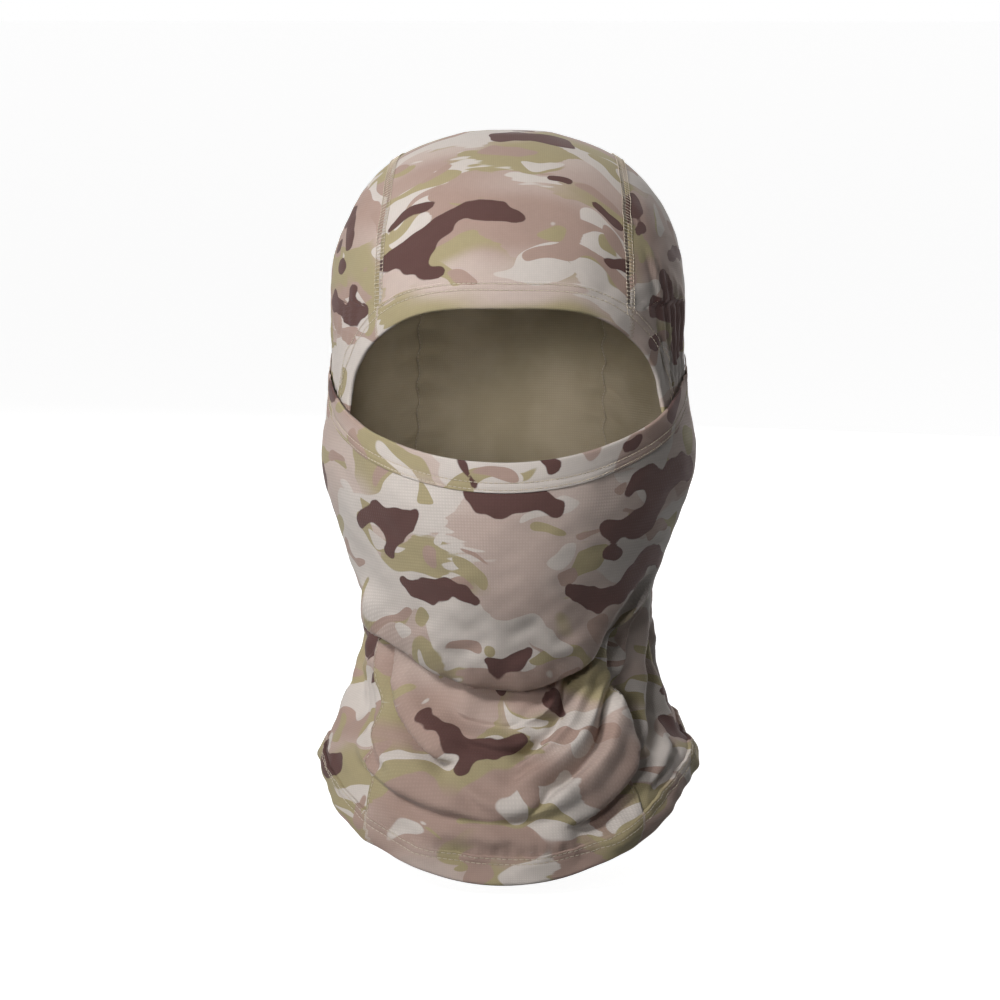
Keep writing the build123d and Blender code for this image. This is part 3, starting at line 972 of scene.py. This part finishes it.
def stitches(name, centres, along, normal, length, width, height, material):
    """Rows of small domed thread loops, each lying along a direction on the cloth."""
    along = unit(along)
    side = unit(np.cross(normal, along))
    right = [(0, -0.5), (0.5, -0.25), (0.8, 0.25), (0.5, 0.7)]
    ring = right + [(0, 0.9)] + [(-x, y) for x, y in right[:0:-1]]
    stations = [(-0.5, 0.35, -0.5), (-0.34, 0.9, 0.25), (0.0, 1.0, 0.5), (0.34, 0.9, 0.25), (0.5, 0.35, -0.5)]
    loops = []
    for place, size, lift in stations:
        for x, y in ring:
            loop = centres + along * length * place + side * x * size * width / 2
            loops.append(loop + normal * (y * size + lift) * height / 2)
    points = np.stack(loops, 1)
    count, sides = len(centres), len(ring)
    pattern = []
    for station in range(len(stations) - 1):
        for k in range(sides):
            a, b = station * sides + k, station * sides + (k + 1) % sides
            pattern.append((a, b, b + sides, a + sides))
    pattern = np.array(pattern)
    faces = (pattern[None] + (np.arange(count) * points.shape[1])[:, None, None]).reshape(-1, 4).tolist()
    for first in np.arange(count) * points.shape[1]:
        faces.append([first + k for k in range(sides)][::-1])
        faces.append([first + (len(stations) - 1) * sides + k for k in range(sides)])
    return new_mesh(name, points, faces, [material])


def evenly(points, pitch):
    """Points along a line at an even pitch, and the line's direction at each."""
    walked = walked_along(points)
    at = np.arange(pitch / 2, walked[-1], pitch)
    even = np.stack([np.interp(at, walked, points[:, k]) for k in range(3)], -1)
    return even, np.gradient(even, axis=0)


def binding_stitches(name, stations, lift, pitch, material, lay=drape):
    """The two rows of cover stitch along a folded strip."""
    centres, directions, normals = [], [], []
    for down in STITCH_ROWS:
        base = stations(down * MM)
        even, along = evenly(lay(base, np.full(len(base), lift)), pitch)
        centres.append(even)
        directions.append(along)
        normals.append(form_normal(even))
    centres, directions, normals = (np.concatenate(part) for part in (centres, directions, normals))
    return stitches(name, centres, directions, normals, pitch * 0.82, 0.55 * MM, 0.5 * MM, material)


YARN = 0.5 * MM


def crown_seam(name, grid, column, material):
    """A flat seam over the crown and down the back: a ladder of thread, its edge rows, and a row inside."""
    side = 1 if column else -1
    spread = 2.4 * MM
    line = grid[2:-4, column]
    even, along = evenly(line, 1.8 * MM)
    normal = form_normal(even)
    across = unit(np.cross(along, normal) * side)
    rungs = stitches(name, even + normal * 0.2 * MM, across, normal, 2 * spread, YARN, YARN, material)
    edges = np.concatenate([even + across * offset + normal * 0.25 * MM for offset in (-spread, spread)])
    both = (np.concatenate([part, part]) for part in (along, normal))
    rows = stitches(name + "_rows", edges, *both, 1.55 * MM, YARN, YARN, material)
    under = even - normal * (CLOTH + 0.1 * MM)
    inner = stitches(name + "_inside", under, along, -normal, 1.5 * MM, YARN, 0.4 * MM, material)
    return [rungs, rows, inner]


def side_seam(name, grid, column, material):
    """The short stitches that hold the front cloth to a side panel."""
    row = grid[:, column]
    # from the first column this steps in along the cloth, and from the last one straight across the hood
    step = unit(grid[:, column + 2] - row)
    even, along = evenly(row + step * 1.8 * MM, 2.6 * MM)
    normal = form_normal(even)
    return stitches(name, even + normal * 0.15 * MM, along, normal, 1.9 * MM, YARN, 0.4 * MM, material)


def ear_tack(name, sign, material):
    """A bar tack where the face band is sewn to the brow binding: a block of close upright stitches."""
    low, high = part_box(name.replace("_bar", ""))
    middle = np.array((low + high) / 2)
    across = np.linspace(-3.2, 3.2, 13) * MM
    beside = sign * form_size(np.array(middle[2]))[0]
    base = np.array([(beside, middle[1] + step, middle[2]) for step in across])
    depth = 0.09
    turn = np.arctan2(base[:, 0] / form_size(base[:, 2])[0], -base[:, 1] / depth)
    centres = band_drape(form_point(turn, base[:, 2]), np.full(len(base), BAND_LIFT))
    normal = form_normal(centres)
    to_and_fro = 0.06 * np.sign(np.sin(across * 9000))
    lean = np.stack([0 * across, to_and_fro, 1 + 0 * across], -1)
    return stitches(name, centres, lean, normal, 5.6 * MM, 0.62 * MM, 0.7 * MM, material)


# ---------------------------------------------------------------- materials


def colour(red, green, blue):
    """An sRGB colour given 0 to 255, as the linear values that shaders take."""
    values = np.array([red, green, blue]) / 255
    linear = np.where(values <= 0.04045, values / 12.92, ((values + 0.055) / 1.055) ** 2.4)
    return (*linear.tolist(), 1)


class Nodes:
    """Short ways to add shader nodes and link them."""

    def __init__(self, name):
        self.material = bpy.data.materials.new(name)
        self.material.use_nodes = True
        self.tree = self.material.node_tree
        self.shader = self.tree.nodes["Principled BSDF"]

    def add(self, kind, inputs=(), **settings):
        node = self.tree.nodes.new(kind)
        for key, value in settings.items():
            setattr(node, key, value)
        for socket, value in dict(inputs).items():
            if isinstance(value, bpy.types.NodeSocket):
                self.tree.links.new(value, node.inputs[socket])
            else:
                node.inputs[socket].default_value = value
        return node

    def maths(self, operation, a, b=0.0, c=0.0):
        node = self.add("ShaderNodeMath", {0: a, 1: b, 2: c}, operation=operation)
        return node.outputs[0]

    def step(self, value, low, high):
        node = self.add("ShaderNodeMapRange", {0: value, 1: low, 2: high}, interpolation_type="SMOOTHSTEP")
        return node.outputs[0]

    def vector(self, operation, inputs):
        return self.add("ShaderNodeVectorMath", inputs, operation=operation).outputs[0]

    def attribute(self, name, output):
        return self.add("ShaderNodeAttribute", attribute_name=name).outputs[output]

    def paint(self, shade):
        self.tree.links.new(shade, self.shader.inputs["Base Color"])

    def mix(self, share, a, b):
        node = self.add("ShaderNodeMix", {0: share}, data_type="RGBA")
        for socket, value in ((6, a), (7, b)):
            if isinstance(value, bpy.types.NodeSocket):
                self.tree.links.new(value, node.inputs[socket])
            else:
                node.inputs[socket].default_value = value
        return node.outputs[2]

    def noise(self, place, scale, offset=(0, 0, 0), detail=2.0):
        """Noise with its own scale along each axis, in features per metre."""
        mapping = self.add("ShaderNodeMapping", {"Vector": place, "Location": offset, "Scale": scale})
        inputs = {"Vector": mapping.outputs[0], "Scale": 1.0, "Detail": detail, "Roughness": 0.5}
        return self.add("ShaderNodeTexNoise", inputs).outputs["Fac"]

    def knit(self, place, pitch, depth):
        """A fine knit's bump: loops in columns and courses, and a little fuzz. The loops it returns also
        paint shade into the colour between them.
        """
        waves = []
        for direction in ("X", "Y"):
            inputs = {"Vector": place, "Scale": 0.314 / pitch, "Distortion": 0.0}
            node = self.add("ShaderNodeTexWave", inputs, wave_type="BANDS", bands_direction=direction)
            waves.append(node.outputs["Fac"])
        loops = self.maths("MULTIPLY", waves[0], waves[1])
        fuzz = self.noise(place, (2200, 2200, 2200), detail=1.0)
        height = self.maths("MULTIPLY_ADD", fuzz, 0.5, loops)
        bump = self.add("ShaderNodeBump", {"Height": height, "Strength": 0.35, "Distance": depth})
        self.tree.links.new(bump.outputs[0], self.shader.inputs["Normal"])
        return loops

    def plain(self, roughness, sheen):
        self.shader.inputs["Roughness"].default_value = roughness
        self.shader.inputs["Sheen Weight"].default_value = sheen
        self.shader.inputs["Sheen Roughness"].default_value = 0.4
        self.shader.inputs["Specular IOR Level"].default_value = 0.25


CREAM = colour(198, 189, 182)
TAN = colour(188, 171, 162)
ROSE_BROWN = colour(161, 137, 126)
OLIVE = colour(158, 146, 113)
DARK_BROWN = colour(84, 58, 54)
DRAB = colour(178, 164, 140)
THREAD = colour(206, 194, 176)


def camo_material(name, pitch, relief):
    """An arid camouflage print: rose to tan ground, olive and cream shapes, a few dark brown blotches."""
    made = Nodes(name)
    place = made.attribute("print_place", "Vector")
    blotch = made.attribute("blotch", "Fac")
    wander = made.add("ShaderNodeTexNoise", {"Vector": place, "Scale": 42.0, "Detail": 0.6}).outputs["Color"]
    shift = made.vector("SUBTRACT", {0: wander, 1: (0.5, 0.5, 0.5)})
    shift = made.vector("SCALE", {0: shift, "Scale": 0.03})
    bent = made.vector("ADD", {0: place, 1: shift})

    # painted light and shade: the print is made paler over the face, where the light falls, and browner over
    # throat and skirt, which lie in the chin's shade
    height = made.add("ShaderNodeSeparateXYZ", {0: place}).outputs["Y"]
    face = made.maths("MULTIPLY", made.step(height, -0.135, -0.10), made.step(height, 0.02, 0.0))
    skirt = made.step(height, -0.10, -0.15)
    ground = made.noise(place, (11, 19, 1), (3.1, 0.4, 0), 1.0)
    ground = made.step(made.maths("MULTIPLY_ADD", skirt, -0.13, ground), 0.36, 0.62)
    ground = made.maths("MAXIMUM", ground, made.maths("MULTIPLY", face, 0.7))
    shade = made.mix(ground, ROSE_BROWN, TAN)
    fade = made.step(made.noise(place, (19, 34, 1), (7.7, 2.2, 0), 1.0), 0.34, 0.52)
    olive_tone = made.mix(fade, shade, OLIVE)
    brushed = made.maths("MULTIPLY_ADD", made.noise(place, (60, 330, 1), (2.7, 8.1, 0), 1.0), 0.10, -0.05)
    in_patches = made.step(made.noise(place, (14, 14, 1), (6.6, 1.7, 0), 0.0), 0.48, 0.6)
    brushed = made.maths("MULTIPLY", brushed, in_patches)
    olive = made.maths("ADD", made.noise(bent, (18, 30, 1), (0.3, 5.9, 0), 0.3), brushed)
    # painted light: fewer olive shapes over the face
    olive = made.maths("MULTIPLY_ADD", face, -0.02, olive)
    shade = made.mix(made.step(olive, 0.52, 0.53), shade, olive_tone)
    cream = made.maths("ADD", made.noise(bent, (17, 32, 1), (4.6, 9.3, 0), 0.3), brushed)
    # painted light and shade: more cream over the face, less over the skirt
    cream = made.maths("MULTIPLY_ADD", face, 0.04, made.maths("MULTIPLY_ADD", skirt, -0.03, cream))
    shade = made.mix(made.step(cream, 0.56, 0.57), shade, CREAM)
    for tone, start, least in ((OLIVE, 1.9, 0.665), (CREAM, 5.2, 0.66), (ROSE_BROWN, 8.8, 0.665)):
        fleck = made.step(made.noise(bent, (42, 70, 1), (start, start, 0), 0.0), least, least + 0.012)
        shade = made.mix(fleck, shade, tone)
    rim = made.noise(place, (110, 130, 1), (0, 0, 0), 0.5)
    rim = made.maths("MULTIPLY_ADD", rim, 0.006, -0.003)
    dark = made.step(made.maths("ADD", blotch, rim), 0.0003, -0.0003)
    shade = made.mix(dark, shade, DARK_BROWN)

    # painted shade: the colour darkens between the knit's loops, where the bump sinks; the worn noise adds a
    # random tone
    loops = made.knit(place, pitch, relief)
    worn = made.noise(place, (420, 420, 1), (0, 0, 0), 2.0)
    knit_shade_and_tone = made.maths("MULTIPLY_ADD", loops, 0.10, made.maths("MULTIPLY_ADD", worn, 0.10, 0.88))
    made.paint(made.vector("SCALE", {0: shade, "Scale": knit_shade_and_tone}))
    made.plain(0.85, 0.12)
    return made.material


def lining_material():
    """The unprinted inside of the knit."""
    made = Nodes("lining")
    place = made.attribute("print_place", "Vector")
    patches = made.step(made.noise(place, (30, 30, 1), (0, 0, 0), 3.0), 0.3, 0.7)
    shade = made.mix(patches, colour(160, 147, 122), DRAB)
    # painted shade: the colour darkens between the knit's loops, where the bump sinks
    loops = made.knit(place, 1.15 * MM, 0.25 * MM)
    knit_shade_and_tone = made.maths("MULTIPLY_ADD", loops, 0.12, 0.92)
    made.paint(made.vector("SCALE", {0: shade, "Scale": knit_shade_and_tone}))
    made.plain(0.9, 0.1)
    return made.material


def thread_material():
    """Soft spun thread."""
    made = Nodes("thread")
    place = made.add("ShaderNodeTexCoord").outputs["Object"]
    twist = made.noise(place, (1500, 1500, 1500), (0, 0, 0), 2.0)
    made.paint(made.mix(twist, colour(176, 162, 142), THREAD))
    bump = made.add("ShaderNodeBump", {"Height": twist, "Strength": 0.4, "Distance": 0.1 * MM})
    made.tree.links.new(bump.outputs[0], made.shader.inputs["Normal"])
    made.plain(0.6, 0.15)
    return made.material


# ---------------------------------------------------------------- the hood

make_camera()
make_studio()
camo = camo_material("camo", 0.9 * MM, 0.15 * MM)
open_knit_camo = camo_material("open_knit_camo", 1.35 * MM, 0.3 * MM)
lining = lining_material()
thread = thread_material()

front_cloth, front_grid = make_front_cloth([open_knit_camo, lining])
crown_cloth, crown_grid, crown_length = make_crown_cloth([camo, lining])
left_cloth, _ = make_side_cloth("left_side_cloth", 1, "left", [camo, lining])
right_cloth, _ = make_side_cloth("right_side_cloth", -1, "right", [camo, lining])
face_band = make_face_band(camo)
brow_fold = make_brow_binding(camo)
hem_fold = make_hem(crown_length, camo)

band_row, brow_row, hem_row = BAND_LIFT - 0.1 * MM, BROW_LIFT - 0.1 * MM, BIB_LIFT + 0.3 * MM
pitch = 2.3 * MM
band_stitches = binding_stitches("face_band_stitches", band_stations, band_row, pitch, thread, band_drape)
brow_stitches = binding_stitches("brow_stitches", brow_stations, brow_row, pitch, thread)
hem_stitches = binding_stitches("hem_stitches", hem_stations, hem_row, 2.6 * MM, thread)
left_crown = crown_seam("left_crown_stitches", crown_grid, -1, thread)
right_crown = crown_seam("right_crown_stitches", crown_grid, 0, thread)
left_side = side_seam("left_side_stitches", front_grid, -1, thread)
right_side = side_seam("right_side_stitches", front_grid, 0, thread)
left_tack = ear_tack("left_ear_tack_bar", 1, thread)
right_tack = ear_tack("right_ear_tack_bar", -1, thread)

# The face band hangs from the ears. The face part, the band and their stitches keep their places in the
# frame; the fixed panels, bindings and seams go under the hood's body
for piece in (front_cloth, face_band, band_stitches, left_side, right_side):
    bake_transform(piece)
fixed = [crown_cloth, left_cloth, right_cloth, brow_fold, hem_fold]
sewn = [brow_stitches, hem_stitches, left_tack, right_tack] + left_crown + right_crown
for piece in fixed + sewn:
    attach(piece, "hood")

for piece, slot, nodes in (
    (front_cloth, "camo_cloth", ["face_panel", "bib_panel"]),
    (crown_cloth, "camo_cloth", ["crown_panel"]),
    (left_cloth, "camo_cloth", ["left_side_panel"]),
    (right_cloth, "camo_cloth", ["right_side_panel"]),
    (face_band, "binding_cloth", ["face_binding"]),
    (brow_fold, "binding_cloth", ["brow_binding"]),
    (hem_fold, "binding_cloth", ["hem_band"]),
    (band_stitches, "seam_thread", ["face_stitching"]),
    (brow_stitches, "seam_thread", ["brow_stitching"]),
    (hem_stitches, "seam_thread", ["hem_stitching"]),
    (left_crown[0], "seam_thread", ["left_crown_seam_thread"]),
    (right_crown[0], "seam_thread", ["right_crown_seam_thread"]),
    (left_side, "seam_thread", ["left_side_seam_thread"]),
    (right_side, "seam_thread", ["right_side_seam_thread"]),
    (left_tack, "seam_thread", ["left_ear_tack"]),
    (right_tack, "seam_thread", ["right_ear_tack"]),
):
    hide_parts(*nodes)
